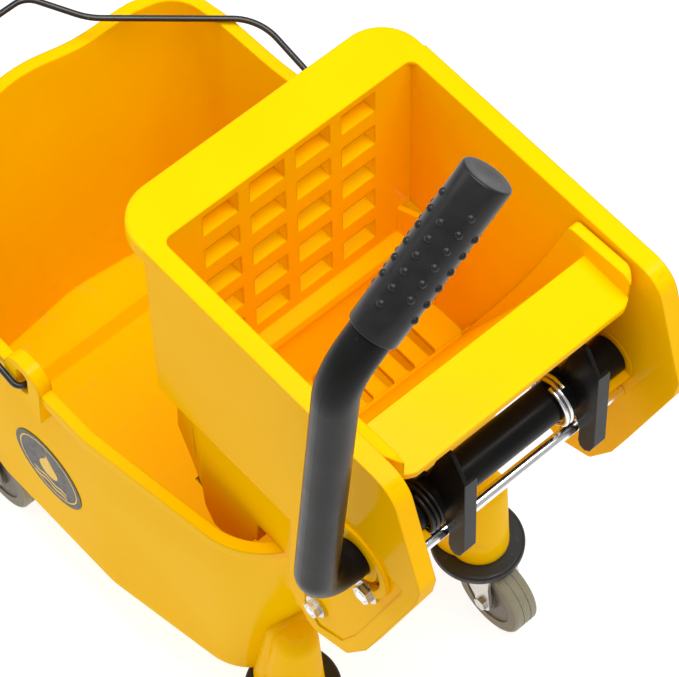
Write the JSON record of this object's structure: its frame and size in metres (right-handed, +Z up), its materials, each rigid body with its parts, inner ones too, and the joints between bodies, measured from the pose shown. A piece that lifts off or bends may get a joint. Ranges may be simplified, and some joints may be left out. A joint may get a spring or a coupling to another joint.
{
  "type": "mop bucket with side press wringer",
  "caption": "Wheeled plastic mop bucket with wire bail and lift-off side press wringer, worked by a bent steel lever with a rubber grip.",
  "frame": {"origin": "on the floor under the bucket, on the plane of symmetry of the bucket, 200 mm in front of the rear caster stems", "axes": "+X towards the wringer and its lever shaft, away from the pouring front; +Y towards the side without the lever; +Z up from the floor"},
  "size_m": [0.6579, 0.3761, 0.9443],
  "materials": {
    "yellow_plastic": "satin moulded polypropylene",
    "bush_plastic": "satin moulded bearing plastic",
    "badge_print": "matte printed oval",
    "black_paint": "satin black powder coat",
    "black_wire": "gloss black coated wire",
    "black_plastic": "matte",
    "grip_rubber": "soft matte with raised bumps",
    "bumper_rubber": "matte",
    "tyre_grey": "matte grey non-marking rubber",
    "hub_plastic": "matte",
    "zinc_steel": "bright zinc plate",
    "chrome_steel": "polished plate",
    "spring_black": "oil blackened spring wire",
    "spring_steel": "bright plated spring wire"
  },
  "bodies": {
    "bucket": {"bucket": "yellow_plastic", "badge": "badge_print", "bumper_rear_near": "bumper_rubber", "bumper_rear_far": "bumper_rubber", "bumper_front_near": "bumper_rubber", "bumper_front_far": "bumper_rubber"},
    "swivel_rear_near": {"fork_rear_near": "zinc_steel", "axle_rear_near": "zinc_steel"},
    "wheel_rear_near": {"hub_rear_near": "hub_plastic", "tyre_rear_near": "tyre_grey"},
    "swivel_rear_far": {"fork_rear_far": "zinc_steel", "axle_rear_far": "zinc_steel"},
    "wheel_rear_far": {"hub_rear_far": "hub_plastic", "tyre_rear_far": "tyre_grey"},
    "swivel_front_near": {"fork_front_near": "zinc_steel", "axle_front_near": "zinc_steel"},
    "wheel_front_near": {"hub_front_near": "hub_plastic", "tyre_front_near": "tyre_grey"},
    "swivel_front_far": {"fork_front_far": "zinc_steel", "axle_front_far": "zinc_steel"},
    "wheel_front_far": {"hub_front_far": "hub_plastic", "tyre_front_far": "tyre_grey"},
    "wringer": {"wringer_body": "yellow_plastic", "bush_near": "bush_plastic", "bush_far": "bush_plastic", "stop_rod": "chrome_steel", "tie_rod": "chrome_steel", "stop_nuts": "zinc_steel", "stop_washers": "zinc_steel", "tie_nuts": "zinc_steel", "tie_washers": "zinc_steel", "spring_near": "spring_black", "spring_far": "spring_steel"},
    "press_plate": {"press_plate": "yellow_plastic"},
    "lever": {"lever_tube": "black_paint", "lever_grip": "grip_rubber", "shaft_plug": "black_plastic", "arm_near": "black_paint", "arm_far": "black_paint"},
    "bail": {"bail": "black_wire"}
  },
  "joints": [
    {"name": "swivel_rear_near", "type": "hinge", "parent": "bucket", "child": "swivel_rear_near", "pos_m": [0.2, -0.105, 0.08], "axis": [0, 0, 1], "continuous": true},
    {"name": "wheel_rear_near_spin", "type": "hinge", "parent": "swivel_rear_near", "child": "wheel_rear_near", "pos_m": [0.23, -0.105, 0.0375], "axis": [0, 1, 0], "continuous": true},
    {"name": "swivel_rear_far", "type": "hinge", "parent": "bucket", "child": "swivel_rear_far", "pos_m": [0.2, 0.105, 0.08], "axis": [0, 0, 1], "continuous": true},
    {"name": "wheel_rear_far_spin", "type": "hinge", "parent": "swivel_rear_far", "child": "wheel_rear_far", "pos_m": [0.23, 0.105, 0.0375], "axis": [0, 1, 0], "continuous": true},
    {"name": "swivel_front_near", "type": "hinge", "parent": "bucket", "child": "swivel_front_near", "pos_m": [-0.17, -0.133, 0.08], "axis": [0, 0, 1], "continuous": true},
    {"name": "wheel_front_near_spin", "type": "hinge", "parent": "swivel_front_near", "child": "wheel_front_near", "pos_m": [-0.14, -0.133, 0.0375], "axis": [0, 1, 0], "continuous": true},
    {"name": "swivel_front_far", "type": "hinge", "parent": "bucket", "child": "swivel_front_far", "pos_m": [-0.17, 0.133, 0.08], "axis": [0, 0, 1], "continuous": true},
    {"name": "wheel_front_far_spin", "type": "hinge", "parent": "swivel_front_far", "child": "wheel_front_far", "pos_m": [-0.14, 0.133, 0.0375], "axis": [0, 1, 0], "continuous": true},
    {"name": "wringer_lift_off", "type": "slide", "parent": "bucket", "child": "wringer", "axis": [0, 0, 1], "range_m": [0, 0.3]},
    {"name": "lever_turn", "type": "hinge", "parent": "wringer", "child": "lever", "pos_m": [0.289, 0, 0.498], "axis": [0, -1, 0], "range_deg": [0, 72], "stiffness_Nm_per_rad": 2.5, "springref_deg": -28.65, "deforming": ["spring_near", "spring_far"]},
    {"name": "press_plate_tilt", "type": "hinge", "parent": "wringer", "child": "press_plate", "pos_m": [0.153, 0, 0.358], "axis": [0, -1, 0], "range_deg": [0, 20.5]},
    {"name": "bail_swing", "type": "hinge", "parent": "bucket", "child": "bail", "pos_m": [-0.042, 0, 0.356], "axis": [0, 1, 0], "range_deg": [0, 88]}
  ],
  "couplings": [
    {"joint": "press_plate_tilt", "follows": "lever_turn", "ratio": 0.278}
  ]
}
